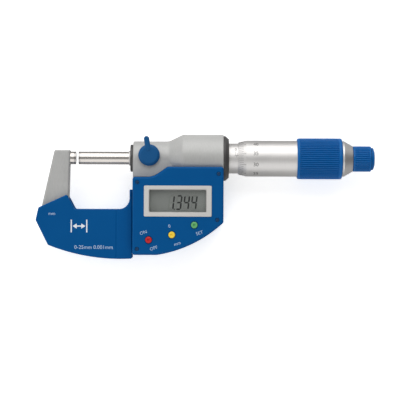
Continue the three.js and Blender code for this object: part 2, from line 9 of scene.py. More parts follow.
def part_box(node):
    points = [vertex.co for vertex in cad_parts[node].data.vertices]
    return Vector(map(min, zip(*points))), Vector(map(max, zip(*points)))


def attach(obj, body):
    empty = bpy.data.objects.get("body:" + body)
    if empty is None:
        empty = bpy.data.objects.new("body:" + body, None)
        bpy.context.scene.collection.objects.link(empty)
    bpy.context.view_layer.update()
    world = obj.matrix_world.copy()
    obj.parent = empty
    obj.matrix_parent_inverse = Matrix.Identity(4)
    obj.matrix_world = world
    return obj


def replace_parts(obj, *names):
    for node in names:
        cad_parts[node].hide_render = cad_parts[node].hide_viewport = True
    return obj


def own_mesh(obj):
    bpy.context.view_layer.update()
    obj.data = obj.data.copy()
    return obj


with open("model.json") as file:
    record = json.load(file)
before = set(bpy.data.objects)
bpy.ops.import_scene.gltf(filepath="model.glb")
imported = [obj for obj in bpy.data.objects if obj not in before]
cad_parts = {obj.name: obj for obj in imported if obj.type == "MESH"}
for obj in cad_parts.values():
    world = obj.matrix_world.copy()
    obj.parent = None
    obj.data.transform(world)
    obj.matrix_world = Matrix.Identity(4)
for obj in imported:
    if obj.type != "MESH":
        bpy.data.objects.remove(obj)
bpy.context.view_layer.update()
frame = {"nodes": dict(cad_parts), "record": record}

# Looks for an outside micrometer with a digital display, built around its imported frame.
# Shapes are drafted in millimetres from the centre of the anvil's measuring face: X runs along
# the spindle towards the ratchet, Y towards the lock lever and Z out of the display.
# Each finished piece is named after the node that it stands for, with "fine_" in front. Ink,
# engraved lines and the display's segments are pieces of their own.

# ---------------- the drafting frame

MM = 0.001
ANVIL_LOW, ANVIL_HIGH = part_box("anvil")
FACE_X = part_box("anvil_carbide_tip")[1].x
AXIS = Vector((FACE_X, (ANVIL_LOW.y + ANVIL_HIGH.y) / 2, (ANVIL_LOW.z + ANVIL_HIGH.z) / 2))
TO_ROW = Matrix.Translation(AXIS) @ Matrix.Scale(MM, 4)

BODY_OF = {n: body for body, nodes in frame["record"]["behaviour"]["bodies"].items() for n in nodes}
SLOT_OF = {part["node"]: part["material_slot"] for part in frame["record"]["subparts"]}


def span(node):
    """A node's box as (low, high) in drafting millimetres."""
    low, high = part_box(node)
    return (low - AXIS) / MM, (high - AXIS) / MM


def stretch_x(node):
    """Where a node begins and ends along X."""
    low, high = span(node)
    return low.x, high.x


def stretch_z(node):
    """Where a node begins and ends along Z."""
    low, high = span(node)
    return low.z, high.z


def middle(node):
    """The middle of a node in the XY plane."""
    low, high = span(node)
    return (low.x + high.x) / 2, (low.y + high.y) / 2


def reach(node):
    """The radius of a node that is turned about the spindle line."""
    return span(node)[1].z


# ---------------- dimensions

SIDES = 128  # of a piece turned about the spindle line
SMALL_SIDES = 48  # of a piece turned about a line along Z
CORNER_STEPS = 5  # chords of a rounded corner
RIM_STEPS = 4  # chords of a rounded rim
LONG_ARC_CHORDS = 36
SMOOTH = 32  # degrees between faces that still shade as one
RIB_SMOOTH = 50  # the same for a ribbed face
WELD = 5e-4  # points closer than this become one
ON_AXIS = 1e-6  # a radius under this is a point on the axis
LEAST_ROUND = 1e-4  # of a corner that an inset would make sharp
PAST = 1  # how far a cutting shape reaches past the face that it cuts
FIT = 0.05  # room between pieces that fit into each other

SPINDLE_R = reach("spindle_carbide_tip")
GUIDE_R = SPINDLE_R + FIT
LEG_X = 29.03
NECK_R = 8.57
NECK_FLAT_Z = NECK_R - 0.05
NECK_END_X = 47.1
CONE_ROUND = 4  # where the cone meets the neck and the barrel
BARREL_R = reach("frame")
BARREL_X = 54.2
BARREL_END_X = span("frame")[1].x
CAVITY_R = 10.6
CAVITY_X = 57.95
CAVITY_FILL_R = CAVITY_R - 0.1  # of what goes into the cavity
SLEEVE_R = 7.6
THIMBLE_R = reach("thimble")
THIMBLE_BORE_R = 7.72
BEVEL_R = 8.1
BEVEL_X = span("thimble")[0].x
BEVEL_END_X = 86.2

ARM_Z = 4.5
LEG_Z = 6
WALL = 1.8
HOUSING_RIM = 1.1
COVER_Z = span("bow_cover_front")[1].z
SHELL_Z, FRONT_Z = stretch_z("housing_front_shell")
BACK_Z, BACK_TOP_Z = stretch_z("back_cover")

LOCK = middle("lock_shoe")
LOCK_BOSS_R = 4.8
LOCK_BOSS_Z = 8.65
LOCK_HOLE_R = 1.5
LOCK_HOLE_Z = (2, 9)
LEVER_R = 5.4
LEVER_REACH = 9.6
LEVER_LEAN = math.radians(8.9)
BATTERY = middle("battery")
BATTERY_R = 5.8
BATTERY_WELL_Z = -4.9
CAP_PLUG_R = 6.2
CAP_FLANGE_R = 7.5
BUTTONS = [middle(f"button_{colour}") for colour in ("red", "yellow", "green")]
BUTTON_R = 1.65
FRONT_SCREWS = [middle(f"housing_screw_{i}") for i in range(1, 5)]
BACK_SCREWS = [middle(f"back_screw_{i}") for i in range(1, 5)]
SCREW_HOLE_R = 0.8
FRONT_HOLE_Z = (1.5, 12)
BACK_HOLE_Z = -2
COVER_PEGS = [(-11, -31), (16, -38)]
PEG_R = 1.2
PEG_Z = 2.5
PEG_HOLE_R = 1.3
PEG_HOLE_Z = 2.2

# Outlines in the XY plane: corners are (x, y) or (x, y, corner radius).


def arc_between(start, end, radius):
    """Corners along a long arc between two points, hanging below its centre."""
    start, end = Vector(start), Vector(end)
    across = end - start
    rise = math.sqrt(radius**2 - (across.length / 2) ** 2) * math.copysign(1, across.x)
    centre = (start + end) / 2 + Vector((-across.y, across.x)).normalized() * rise
    first, last = start - centre, end - centre
    turn = first.angle_signed(last)
    return [
        tuple(centre + Matrix.Rotation(-turn * k / LONG_ARC_CHORDS, 2) @ first)
        for k in range(1, LONG_ARC_CHORDS)
    ]


ARM = [(-10.7, 4.09, 1.2), (-2.75, 4.09, 0.9), (-3.4, -18.8), (-4.8, -30), (-18.3, -30)]

BOW_COVER = [
    (-18.6, -25.1, 1),
    (-4.15, -18.5, 0.9),
    (-0.3, -25.77, 1.4),
    (27.36, -25.77, 5.3),
    (27.36, -15.94, 0.4),
    (28.75, -15.94, 0.4),
    (28.75, -50.73, 0.8),
    *arc_between((28.75, -50.73), (-13.75, -43.95), 98.6),
    (-13.75, -43.95, 0.9),
    (-20, -31.43, 1.2),
]

FRAME_BOW = [
    (-18, -25.55),
    (-4.5, -19.4),
    (-0.7, -26.37, 1),
    (27.96, -26.37, 5.9),
    (27.96, -16.5),
    (36, -16.5),
    (36, -47.9),
    (28.7, -47.9),
    (28.15, -50.1, 0.8),
    *arc_between((28.15, -50.1), (-13.35, -43.4), 98),
    (-13.35, -43.4, 0.8),
    (-19.35, -31.35, 0.8),
]

NECK_FLAT = [
    (LEG_X, -9.35),
    (39.4, -9.35, 10),
    (46.5, -4.3),
    (49.3, -4.3),
    (49.3, 0),
    (LEG_X, 0),
]

HOUSING_FOOT = [
    (74.64, -32.33, 1.2),
    *arc_between((74.64, -32.33), (41.22, -48.69), 62.46),
    (41.22, -48.69),
    (29.03, -48.69, 1.2),
]

HOUSING = [
    (29.03, -9.61, 1.2),
    (39.35, -9.61, 10),
    (46.64, -4.45, 1.2),
    (74.64, -4.45, 1.2),
    *HOUSING_FOOT,
]

HOUSING_LOWER = [(29.03, -12.9, 1.2), (74.64, -12.9, 1.2), *HOUSING_FOOT]

# Rectangles by left, bottom, right and top edges
LEG_SHOULDER = (LEG_X, -14, 50, -0.5)
BEZEL = (34.8, -29.44, 68.71, -13.94)
BEZEL_ROUND = 0.6
BEZEL_WINDOW = (37.6, -27.1, 65.85, -16.12)

# ---------------- outline tools


def rounded(corners, closed=True):
    """The points of an outline or profile whose corners are rounded by their radii."""
    count, points = len(corners), []
    for i, (x, y, *radius) in enumerate(corners):
        here = Vector((x, y))
        if not radius or radius[0] == 0 or (not closed and i in (0, count - 1)):
            points.append(here)
            continue
        before = (Vector(corners[i - 1][:2]) - here).normalized()
        after = (Vector(corners[(i + 1) % count][:2]) - here).normalized()
        half = before.angle(after) / 2
        centre = here + (before + after).normalized() * radius[0] / math.sin(half)
        start = here + before * radius[0] / math.tan(half) - centre
        end = here + after * radius[0] / math.tan(half) - centre
        turn = start.angle_signed(end)
        points += [
            centre + Matrix.Rotation(-turn * k / CORNER_STEPS, 2) @ start
            for k in range(CORNER_STEPS + 1)
        ]
    return points


def inset(corners, distance):
    """The same corners moved inwards, with their radii kept concentric."""
    points = [Vector(corner[:2]) for corner in corners]
    count = len(points)
    area = sum(points[i - 1].cross(points[i]) for i in range(count))
    side = math.copysign(1, area)
    edges = [(points[(i + 1) % count] - points[i]).normalized() for i in range(count)]
    inward = [Vector((-edge.y, edge.x)) * side for edge in edges]
    moved = []
    for i, (point, corner) in enumerate(zip(points, corners)):
        first, second = inward[i - 1], inward[i]
        shift = (first + second) / (1 + first.dot(second)) * distance
        radius = corner[2] if len(corner) > 2 else 0
        if radius:
            grow = -distance if first.cross(second) * side > 0 else distance
            radius = max(LEAST_ROUND, radius + grow)
        moved.append((point.x + shift.x, point.y + shift.y, radius))
    return moved


def rectangle(edges, radius=0.0, grow=0.0):
    """The outline of a rectangle, grown outwards on every side."""
    left, bottom, right, top = edges
    return [
        (left - grow, bottom - grow, radius),
        (right + grow, bottom - grow, radius),
        (right + grow, top + grow, radius),
        (left - grow, top + grow, radius),
    ]


def bar(start, end, radius):
    """The outline of a bar with round ends."""
    start, end = Vector(start), Vector(end)
    along = (end - start).normalized() * radius
    across = Vector((-along.y, along.x))
    first, last = start - along, end + along
    corners = [first + across, first - across, last - across, last + across]
    almost = radius * 0.98  # two full corners would touch
    return [(corner.x, corner.y, almost) for corner in corners]


# ---------------- shapes, as (points, faces)


def loft(rings, closed=False):
    """Joins rings of equal length, or a ring and a point, and caps the ends unless closed."""
    points, faces, starts = [], [], []
    for ring in rings:
        starts.append((len(points), len(ring)))
        points += [Vector(point) for point in ring]
    following = starts[1:] + starts[:1] if closed else starts[1:]
    for (a, m), (b, n) in zip(starts, following):
        for k in range(max(m, n)):
            after = (k + 1) % max(m, n)
            face = [a + k % m, a + after % m, b + after % n, b + k % n]
            faces.append(list(dict.fromkeys(face)))
    if not closed:
        faces += [list(range(start, start + n)) for start, n in (starts[0], starts[-1]) if n > 2]
    return points, faces


def lathe(corners, sides=SIDES, ribs=None):
    """A solid turned about X from (x, radius) corners.

    Where ribs is given, ribs(x, radius, angle) is the real radius.
    """
    closed = corners[0][1] > 0
    rings = []
    for x, radius in rounded(corners, closed):
        if radius < ON_AXIS:
            rings.append([(x, 0, 0)])
            continue
        ring = []
        for k in range(sides):
            angle = 2 * math.pi * k / sides
            r = ribs(x, radius, angle) if ribs else radius
            ring.append((x, r * math.sin(angle), r * math.cos(angle)))
        rings.append(ring)
    return loft(rings, closed)


def upright(corners, place, sides=SMALL_SIDES):
    """A solid turned about a line along Z, from (height, radius) corners."""
    points, faces = lathe(corners, sides)
    return [Vector((place[0] + p.y, place[1] + p.z, p.x)) for p in points], faces


def rod(start, end, radius):
    """A plain round bar on the spindle line."""
    return lathe([(start, 0), (start, radius), (end, radius), (end, 0)])


def post(place, low, high, radius):
    """A plain round bar along Z."""
    return upright([(low, 0), (low, radius), (high, radius), (high, 0)], place)


def plate(corners, low, high, rim=0.0):
    """A flat plate between two heights whose rims are rounded inside the outline."""
    if rim == 0:
        flat = rounded(corners)
        return loft([[(*p, low) for p in flat], [(*p, high) for p in flat]])
    levels = []
    for k in range(RIM_STEPS + 1):
        turn = math.pi / 2 * k / RIM_STEPS
        levels.append((rim * (1 - math.cos(turn)), rim * (1 - math.sin(turn))))
    under = [(depth, low + rise) for depth, rise in reversed(levels)]
    over = [(depth, high - rise) for depth, rise in levels]
    return loft([[(*p, z) for p in rounded(inset(corners, d))] for d, z in under + over])


def block(xs, ys, zs):
    return plate(rectangle((xs[0], ys[0], xs[1], ys[1])), zs[0], zs[1])


def merged(shapes):
    """Separate shapes as one."""
    points, faces = [], []
    for more_points, more_faces in shapes:
        faces += [[len(points) + corner for corner in face] for face in more_faces]
        points += more_points
    return points, faces


# ---------------- Blender objects


def draft(shape):
    """An unfinished object, in drafting millimetres."""
    points, faces = shape
    mesh = bpy.data.meshes.new("draft")
    mesh.from_pydata([tuple(point) for point in points], [], faces)
    cleaner = bmesh.new()
    cleaner.from_mesh(mesh)
    bmesh.ops.remove_doubles(cleaner, verts=cleaner.verts, dist=WELD)
    bmesh.ops.recalc_face_normals(cleaner, faces=cleaner.faces)
    cleaner.to_mesh(mesh)
    cleaner.free()
    obj = bpy.data.objects.new("draft", mesh)
    bpy.context.scene.collection.objects.link(obj)
    return obj


def as_draft(shape):
    return shape if isinstance(shape, bpy.types.Object) else draft(shape)


def settled(obj):
    """The mesh of an object with its modifiers applied."""
    bpy.context.view_layer.update()
    depsgraph = bpy.context.evaluated_depsgraph_get()
    return bpy.data.meshes.new_from_object(obj.evaluated_get(depsgraph))


def combine(base, operation, shapes):
    """Joins shapes or drafts to a base, or cuts them from it, and uses them up."""
    base = as_draft(base)
    tools = [as_draft(shape) for shape in shapes]
    for tool in tools:
        step = base.modifiers.new("step", "BOOLEAN")
        step.operation, step.solver, step.object = operation, "MANIFOLD", tool
    mesh = settled(base)
    base.modifiers.clear()
    base.data = mesh
    for tool in tools:
        bpy.data.objects.remove(tool)
    return base


def joined(base, *shapes):
    return combine(base, "UNION", shapes)


def cut(base, *shapes):
    return combine(base, "DIFFERENCE", shapes)


def finished(name, obj, body, material, smooth=SMOOTH):
    """Places a draft in the row frame, shades it and hangs it on its body."""
    obj = as_draft(obj)
    obj.name = obj.data.name = name
    obj.data.transform(TO_ROW)
    obj.data.materials.clear()
    obj.data.materials.append(material)
    obj.data.shade_smooth()
    obj.data.set_sharp_from_angle(angle=math.radians(smooth))
    even = obj.modifiers.new("even_normals", "WEIGHTED_NORMAL")
    even.keep_sharp = True
    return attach(obj, body)


def fine(node, obj, smooth=SMOOTH):
    """The finished piece that stands for a node."""
    piece = finished(f"fine_{node}", obj, BODY_OF[node], FINISHES[SLOT_OF[node]], smooth)
    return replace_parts(piece, node)


# ---------------- materials

# Cycles per millimetre along X, Y and Z
RINGS = (14.0, 0.25, 0.25)  # turning marks about the spindle line
FINE_RINGS = (30.0, 0.4, 0.4)
CAST = (5.0, 0.5, 1.2)
MOULDED = (6.0, 6.0, 6.0)
EVEN = (3.0, 3.0, 3.0)
MOTTLED = (1.2, 1.2, 1.2)
TRACKS = (0.4, 8.0, 8.0)
BROAD = (0.05, 0.05, 0.05)

GRAIN_DETAIL = 5.0
BROAD_DETAIL = 3.0
NOISE_LOW, NOISE_HIGH = 0.3, 0.7  # where nearly all of the noise lies


def linear(red, green, blue):
    """A colour given as 0 to 255 on a screen, as the light it sends."""
    def one(value):
        value /= 255
        return value / 12.92 if value <= 0.04045 else ((value + 0.055) / 1.055) ** 2.4
    return one(red), one(green), one(blue), 1


def add(tree, kind, inputs=(), **attributes):
    """A new node, its inputs linked or set by name."""
    made = tree.nodes.new("ShaderNode" + kind)
    for key, value in attributes.items():
        setattr(made, key, value)
    for key, value in dict(inputs).items():
        if isinstance(value, bpy.types.NodeSocket):
            tree.links.new(value, made.inputs[key])
        else:
            made.inputs[key].default_value = value
    return made


def noise(tree, per_mm, detail):
    """Noise in the piece's own space, by its cycles per millimetre along each axis."""
    place = add(tree, "TexCoord").outputs["Object"]
    scale = [value / MM for value in per_mm]
    fitted = add(tree, "Mapping", {"Vector": place, "Scale": scale}).outputs["Vector"]
    return add(tree, "TexNoise", {"Vector": fitted, "Scale": 1.0, "Detail": detail}).outputs["Fac"]


def ramp(tree, factor, first, last):
    """The range of noise stretched between two colours."""
    made = add(tree, "ValToRGB", {"Fac": factor})
    low, high = made.color_ramp.elements
    low.position, low.color = NOISE_LOW, first
    high.position, high.color = NOISE_HIGH, last
    return made.outputs["Color"]


def stretched(tree, value, start, end, low, high):
    """A value from start to end mapped to one from low to high."""
    inputs = {"Value": value, "From Min": start, "From Max": end, "To Min": low, "To Max": high}
    return add(tree, "MapRange", inputs).outputs["Result"]


def surface(name, colours, roughness, grain, bump=0.0, depth=0.02, **shader):
    """A material whose colour and gloss drift broadly between two values, with fine grain.

    The grain is in cycles per millimetre, and stands out by depth millimetres times bump.
    """
    made = bpy.data.materials.new(name)
    made.use_nodes = True
    tree = made.node_tree
    principled = tree.nodes["Principled BSDF"]
    for key, value in shader.items():
        principled.inputs[key.replace("_", " ")].default_value = value
    fine_noise = noise(tree, grain, GRAIN_DETAIL)
    drift = noise(tree, BROAD, BROAD_DETAIL)
    both = add(tree, "Math", {0: fine_noise, 1: drift}, operation="ADD").outputs[0]
    mean = add(tree, "Math", {0: both, 1: 0.5}, operation="MULTIPLY").outputs[0]
    colour = ramp(tree, mean, linear(*colours[0]), linear(*colours[1]))
    tree.links.new(colour, principled.inputs["Base Color"])
    gloss = stretched(tree, mean, NOISE_LOW, NOISE_HIGH, *roughness)
    tree.links.new(gloss, principled.inputs["Roughness"])
    if bump:
        settings = {"Height": fine_noise, "Strength": bump, "Distance": depth * MM}
        tree.links.new(add(tree, "Bump", settings).outputs["Normal"], principled.inputs["Normal"])
    return made


# Name, two shades, the range of roughness, the grain, and what else the shader has
LOOKS = [
    ("frame_paint", ((169, 169, 167), (189, 189, 187)), (0.42, 0.56), CAST,
     dict(bump=0.25, Metallic=0.25)),
    ("satin_steel", ((208, 206, 204), (226, 224, 222)), (0.44, 0.54), RINGS,
     dict(bump=0.12, depth=0.01, Metallic=1.0)),
    ("ground_steel", ((194, 189, 184), (214, 209, 204)), (0.14, 0.2), FINE_RINGS,
     dict(bump=0.08, depth=0.008, Metallic=1.0)),
    ("carbide", ((168, 165, 162), (184, 181, 178)), (0.16, 0.22), MOULDED,
     dict(bump=0.05, Metallic=1.0)),
    ("blue_shell", ((0, 78, 138), (0, 84, 146)), (0.4, 0.5), MOULDED,
     dict(bump=0.12, Specular_IOR_Level=0.08)),
    ("blue_grip", ((0, 88, 154), (4, 96, 168)), (0.26, 0.34), MOULDED,
     dict(bump=0.1, Specular_IOR_Level=0.17)),
    ("blue_lever", ((18, 78, 128), (26, 86, 138)), (0.36, 0.46), MOULDED,
     dict(bump=0.1, Specular_IOR_Level=0.12)),
    ("black_plastic", ((56, 55, 55), (74, 72, 71)), (0.34, 0.46), MOULDED, dict(bump=0.15)),
    # Screws: blackened steel given a navy base colour, a painted blue shade for their deep recesses
    # in the blue shell
    ("black_screw", ((22, 68, 114), (34, 84, 134)), (0.28, 0.4), EVEN,
     dict(bump=0.1, Metallic=0.35)),
    ("black_rubber", ((30, 30, 31), (44, 44, 45)), (0.66, 0.82), EVEN, dict(bump=0.3, depth=0.04)),
    ("grey_bezel", ((200, 198, 195), (212, 210, 207)), (0.4, 0.5), MOULDED,
     dict(bump=0.1, Specular_IOR_Level=0.3)),
    ("clear_window", ((66, 70, 70), (80, 84, 84)), (0.04, 0.14), EVEN, dict(Alpha=0.08)),
    ("display", ((140, 144, 140), (150, 154, 150)), (0.3, 0.42), EVEN, dict(bump=0.04)),
    ("circuit", ((18, 84, 48), (34, 110, 62)), (0.35, 0.5), MOTTLED, dict(bump=0.3, depth=0.05)),
    ("brass", ((176, 138, 62), (204, 168, 88)), (0.26, 0.38), RINGS, dict(bump=0.1, Metallic=1.0)),
    ("copper_film", ((168, 96, 52), (196, 122, 70)), (0.3, 0.45), TRACKS,
     dict(bump=0.1, Metallic=0.8)),
    ("battery_steel", ((196, 196, 194), (216, 216, 214)), (0.22, 0.34), EVEN,
     dict(bump=0.06, Metallic=1.0)),
    ("red_key", ((188, 18, 30), (204, 28, 40)), (0.36, 0.48), MOULDED, dict(bump=0.1)),
    ("yellow_key", ((244, 206, 54), (252, 220, 72)), (0.36, 0.48), MOULDED, dict(bump=0.1)),
    ("green_key", ((92, 168, 102), (110, 186, 120)), (0.36, 0.48), MOULDED, dict(bump=0.1)),
]

FINISHES = {
    name: surface(name, shades, roughness, grain, **more)
    for name, shades, roughness, grain, more in LOOKS
}

WHITE_INK = surface("white_ink", ((226, 232, 240), (240, 244, 248)), (0.5, 0.6), EVEN)
BLACK_FILL = surface("black_fill", ((34, 34, 36), (52, 52, 54)), (0.5, 0.65), EVEN)
LABEL_INK = surface("label_ink", ((172, 194, 220), (186, 206, 230)), (0.5, 0.6), EVEN)
LCD_DARK = surface("lcd_dark", ((16, 18, 18), (24, 26, 26)), (0.3, 0.4), EVEN)
LCD_FAINT = surface("lcd_faint", ((132, 136, 132), (140, 144, 140)), (0.3, 0.4), EVEN)

# ---------------- frame casting

ANVIL_SEAT_X = -10.3
HOUSING_LEDGE = 0.6  # from the housing's outline in to the casting's
CABLE_WAY = ((CAVITY_X - 0.05, 60), (-16.5, -9.8), (0.5, LEG_Z + PAST))
BOARD_LEDGE = 4
BOARD_WELL_Z = 3.5
CONTACT_SLOT = (0.7, 0.4)  # half its length and half its width


def frame_casting():
    boss = lathe([
        (LEG_X, 0), (LEG_X, NECK_R, 0.6), (NECK_END_X, NECK_R, CONE_ROUND),
        (BARREL_X, BARREL_R, CONE_ROUND), (BARREL_END_X, BARREL_R, 0.5), (BARREL_END_X, 0),
    ])
    lock_boss = [(0, 0), (0, LOCK_BOSS_R), (LOCK_BOSS_Z, LOCK_BOSS_R, 0.3), (LOCK_BOSS_Z, 0)]
    solid = joined(
        boss,
        plate(ARM, -ARM_Z, ARM_Z, 0.9),
        plate(FRAME_BOW, -ARM_Z, ARM_Z, 0.5),
        plate(inset(HOUSING, HOUSING_LEDGE), -LEG_Z, LEG_Z, 0.5),
        plate(rectangle(LEG_SHOULDER, 0.3), -LEG_Z, LEG_Z, 0.25),
        plate(NECK_FLAT, -NECK_FLAT_Z, NECK_FLAT_Z),
        upright(lock_boss, LOCK),
    )
    x, y = BATTERY
    dx, dy = CONTACT_SLOT
    return cut(
        solid,
        rod(ANVIL_SEAT_X, 0, GUIDE_R),
        rod(LEG_X - PAST, CAVITY_X + 0.1, GUIDE_R),
        rod(CAVITY_X, BARREL_END_X + PAST, CAVITY_R),
        post(LOCK, *LOCK_HOLE_Z, LOCK_HOLE_R),
        block(*CABLE_WAY),
        plate(inset(HOUSING_LOWER, BOARD_LEDGE), BOARD_WELL_Z, LEG_Z + PAST),
        post(BATTERY, -LEG_Z - PAST, BATTERY_WELL_Z, BATTERY_R + 0.3),
        block((x - dx, x + dx), (y - dy, y + dy), (-LEG_Z, LEG_Z)),
        *[post(place, *FRONT_HOLE_Z, SCREW_HOLE_R) for place in FRONT_SCREWS],
        *[post(place, -LEG_Z - PAST, BACK_HOLE_Z, SCREW_HOLE_R) for place in BACK_SCREWS],
        *[post(place, PEG_HOLE_Z, ARM_Z + PAST, PEG_HOLE_R) for place in COVER_PEGS],
        *[post(place, -ARM_Z - PAST, -PEG_HOLE_Z, PEG_HOLE_R) for place in COVER_PEGS],
    )


def add_pin(node, start_round, end_round):
    """A plain pin on the spindle line, as thick as the spindle."""
    start, end = stretch_x(node)
    fine(node, lathe([
        (start, 0), (start, SPINDLE_R, start_round), (end, SPINDLE_R, end_round), (end, 0),
    ]))


def add_frame():
    fine("frame", frame_casting())
    add_pin("anvil", 0, 0.05)
    add_pin("anvil_carbide_tip", 0.05, 0.06)
    start, end = stretch_x("spindle_seal_ring")
    dish, bore, floor, lip, rim = 0.5, 3.4, 5.2, 5.6, 6.9
    fine("spindle_seal_ring", lathe([
        (end, bore), (start + dish, bore, 0.1), (start + dish, floor, 0.2), (start, lip, 0.2),
        (start, rim, 0.35), (end, rim, 0.1),
    ]))
    start, end = stretch_x("spindle_wiper")
    bore, rim = 3.35, 3.75
    fine("spindle_wiper", lathe([
        (start, bore), (start, rim, 0.15), (end, rim, 0.05), (end, bore),
    ]))


# ---------------- bow covers

CREASE_X = 20.8
CREASE_DEPTH = 0.22
CREASE_RISE = (0.5, 0.9)  # along X, before and after its bottom
CREASE_Y = (-60, -20)


def mirrored(shape):
    points, faces = shape
    return [Vector((p.x, p.y, -p.z)) for p in points], faces


def bow_cover(turn):
    """The front cover passed through turn: a plate on two pegs with a crease across its face."""
    low, above = ARM_Z + FIT, COVER_Z + 0.1
    solid = joined(
        turn(plate(BOW_COVER, low, COVER_Z, 0.7)),
        *[turn(post(place, PEG_Z, low + 0.6, PEG_R)) for place in COVER_PEGS],
    )
    before, after = CREASE_RISE
    crease = [
        (CREASE_X - before, above), (CREASE_X, COVER_Z - CREASE_DEPTH), (CREASE_X + after, above),
    ]
    return cut(solid, turn(loft([[(x, y, z) for x, z in crease] for y in CREASE_Y])))


def add_bow_covers():
    fine("bow_cover_front", bow_cover(lambda shape: shape))
    fine("bow_cover_back", bow_cover(mirrored))


# ---------------- display housing

SEAT_R = 1
SEAT_FLARE_R = 1.3
FRONT_SEAT_Z = 12.8
BACK_SEAT_DEPTH = 1.2
FRONT_POST_R = 2.2  # the hollows leave a post of this radius around each screw
BACK_POST_R = 2.4
BACK_WALL = 1.6
BATTERY_WALL_R = 8.8
FLANGE_SEAT_R = 7.3
FLANGE_HOLE_R = 7.65
FLANGE_HOLE_DEPTH = 1
BEZEL_ROOM = 0.04
BARREL_ROOM = 0.3  # between the barrel and the shell
RELIEF_X = (20, 80)  # past both ends of the shell

SHANK_R = 0.7
SHANK_TIP_R = 0.6
HEAD_R = 0.9
HEAD_TOP_R = 0.85
HEAD_HEIGHT = 0.95
CROSS_REACH = 0.52
CROSS_HALF = 0.12
CROSS_DEPTH = 0.45


def screw_seat(place, depth_z, face_z):
    """A screw's recess, flared where it meets the face."""
    out = math.copysign(1, face_z)
    return upright([
        (depth_z, 0), (depth_z, SEAT_R), (face_z - 0.2 * out, SEAT_R),
        (face_z + 0.1 * out, SEAT_FLARE_R), (face_z + out, SEAT_FLARE_R), (face_z + out, 0),
    ], place)


def button_hole(place):
    radius = BUTTON_R + 0.1
    flare = radius + 0.3
    bottom, top = FRONT_Z - WALL - 0.2, FRONT_Z + PAST
    return upright([
        (bottom, 0), (bottom, radius), (FRONT_Z - 0.25, radius), (FRONT_Z + 0.05, flare),
        (top, flare), (top, 0),
    ], place)


def housing_front():
    inner, above = FRONT_Z - WALL, FRONT_Z + PAST
    cavity = cut(
        plate(inset(HOUSING_LOWER, WALL), SHELL_Z - PAST, inner + FIT),
        *[post(place, 0, FRONT_Z, FRONT_POST_R) for place in FRONT_SCREWS[2:]],
    )
    neck, barrel = NECK_R + BARREL_ROOM, BARREL_R + BARREL_ROOM
    cone_start, cone_end = NECK_END_X - BARREL_ROOM / 2, BARREL_X - BARREL_ROOM / 2
    start, end = RELIEF_X
    relief = lathe([
        (start, 0), (start, neck), (cone_start, neck, CONE_ROUND),
        (cone_end, barrel, CONE_ROUND), (end, barrel), (end, 0),
    ])
    return cut(
        plate(HOUSING, SHELL_Z, FRONT_Z, HOUSING_RIM),
        relief,
        plate(rectangle(BEZEL, BEZEL_ROUND, BEZEL_ROOM), inner - PAST, above),
        *[button_hole(place) for place in BUTTONS],
        *[screw_seat(place, FRONT_SEAT_Z, FRONT_Z) for place in FRONT_SCREWS],
        *[post(place, 0, above, SCREW_HOLE_R) for place in FRONT_SCREWS],
        cavity,
    )


def back_cover():
    floor, below, above = BACK_Z + BACK_WALL, BACK_Z - PAST, BACK_TOP_Z + PAST
    walls = (floor - PAST, above + PAST)
    cavity = cut(
        plate(inset(HOUSING_LOWER, WALL), floor, above),
        post(BATTERY, *walls, BATTERY_WALL_R),
        *[post(place, *walls, BACK_POST_R) for place in BACK_SCREWS],
    )
    return cut(
        plate(HOUSING_LOWER, BACK_Z, BACK_TOP_Z, HOUSING_RIM),
        post(BATTERY, below, above, BATTERY_R + 0.2),
        post(BATTERY, below, floor, FLANGE_SEAT_R),
        post(BATTERY, below, BACK_Z + FLANGE_HOLE_DEPTH, FLANGE_HOLE_R),
        *[screw_seat(place, BACK_Z + BACK_SEAT_DEPTH, BACK_Z) for place in BACK_SCREWS],
        *[post(place, below, above, SCREW_HOLE_R) for place in BACK_SCREWS],
        cavity,
    )


def screw(node, head, tip):
    """A cross-recessed screw between the heights of its head's face and its tip."""
    x, y = middle(node)
    out = math.copysign(1, head - tip)
    under = head - HEAD_HEIGHT * out
    solid = upright([
        (tip, 0), (tip, SHANK_TIP_R, 0.1), (under, SHANK_R), (under, HEAD_R, 0.06),
        (head, HEAD_TOP_R, 0.25), (head, 0),
    ], (x, y))
    depth = sorted((head + out, head - CROSS_DEPTH * out))
    arms = [(CROSS_REACH, CROSS_HALF), (CROSS_HALF, CROSS_REACH)]
    return cut(solid, *[block((x - dx, x + dx), (y - dy, y + dy), depth) for dx, dy in arms])


def add_housing():
    fine("housing_front_shell", housing_front())
    fine("back_cover", back_cover())
    for i in range(1, 5):
        front, back = f"housing_screw_{i}", f"back_screw_{i}"
        tip, head = stretch_z(front)
        fine(front, screw(front, head, tip))
        head, tip = stretch_z(back)
        fine(back, screw(back, head, tip))


# ---------------- display

DIGIT_HEIGHT = 6.7
DIGIT_WIDTH = 2.24
DIGIT_PITCH = 3.79
DIGITS_X = 48.5
DIGITS_Y = -22.4
DIGIT_LEAN = 0.12
STROKE = 0.8
SEGMENT_GAP = 0.08
SEGMENT_RISE = 0.03
POINT_R = 0.35
READING = "1.344"
SEGMENTS_OF = {"1": "bc", "3": "abgcd", "4": "fgbc"}
# A segment's two ends, from the digit's middle in halves of its width and height
SEGMENT_ENDS = {
    "a": ((-1, 1), (1, 1)), "b": ((1, 1), (1, 0)), "c": ((1, 0), (1, -1)),
    "d": ((-1, -1), (1, -1)), "e": ((-1, 0), (-1, -1)), "f": ((-1, 1), (-1, 0)),
    "g": ((-1, 0), (1, 0)),
}


